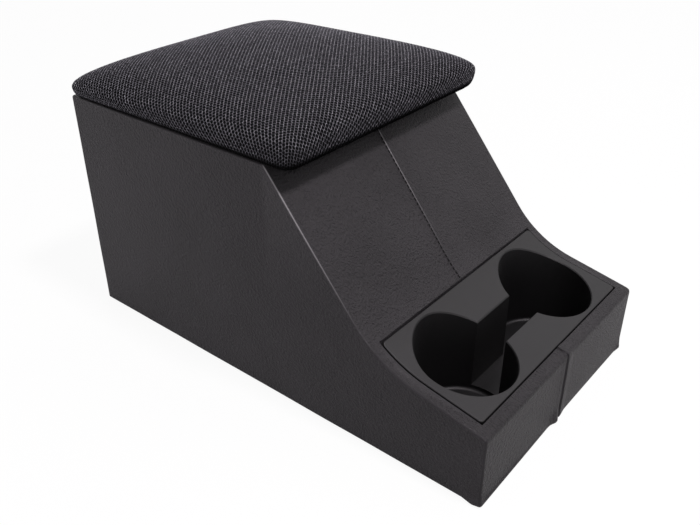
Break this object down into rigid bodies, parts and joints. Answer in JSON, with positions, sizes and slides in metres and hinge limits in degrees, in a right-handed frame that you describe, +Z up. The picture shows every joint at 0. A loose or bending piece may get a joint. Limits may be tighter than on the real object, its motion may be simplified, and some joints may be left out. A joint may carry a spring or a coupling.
{
  "type": "car centre armrest box",
  "caption": "Covered storage box with a padded mesh armrest lid hinged at the rear, and a moulded cup tray in its low front end, below a steep slope.",
  "frame": {"origin": "middle of the base footprint, on the surface that the box stands on", "axes": "+Z up, +Y towards the hinge at the rear, +X to the right seen from the front"},
  "size_m": [0.2462, 0.4318, 0.2501],
  "materials": {
    "plywood": "bare plywood",
    "leathercloth": "fine satin grain",
    "base_cloth": "plain weave",
    "lid_lining": "leathercloth on hardboard",
    "carpet": "needled carpet",
    "tray_plastic": "fine moulded grain",
    "foam": "open-cell foam",
    "spacer_mesh": "open spacer mesh",
    "hinge_steel": "rolled steel",
    "zinc_steel": "zinc plated"
  },
  "bodies": {
    "box": {"base_panel": "plywood", "left_side_panel": "plywood", "right_side_panel": "plywood", "rear_panel": "plywood", "front_panel": "plywood", "slope_panel": "plywood", "divider_panel": "plywood", "carcass_screws": "zinc_steel", "left_cover": "leathercloth", "right_cover": "leathercloth", "base_cloth": "base_cloth", "floor_lining": "carpet", "left_lining": "carpet", "right_lining": "carpet", "rear_lining": "carpet", "front_lining": "carpet", "cup_holder_tray": "tray_plastic", "hinge_lower_leaf": "hinge_steel", "hinge_pin": "hinge_steel", "hinge_lower_screws": "zinc_steel"},
    "lid": {"lid_board": "plywood", "lid_foam": "foam", "lid_cover": "spacer_mesh", "lid_lining": "lid_lining", "lid_lining_screws": "zinc_steel", "lid_cover_staples": "zinc_steel", "hinge_upper_leaf": "hinge_steel", "hinge_upper_screws": "zinc_steel"}
  },
  "joints": [
    {"name": "lid_hinge", "type": "hinge", "parent": "box", "child": "lid", "pos_m": [0, 0.21606, 0.20774], "axis": [-1, 0, 0], "range_deg": [0, 100]}
  ]
}
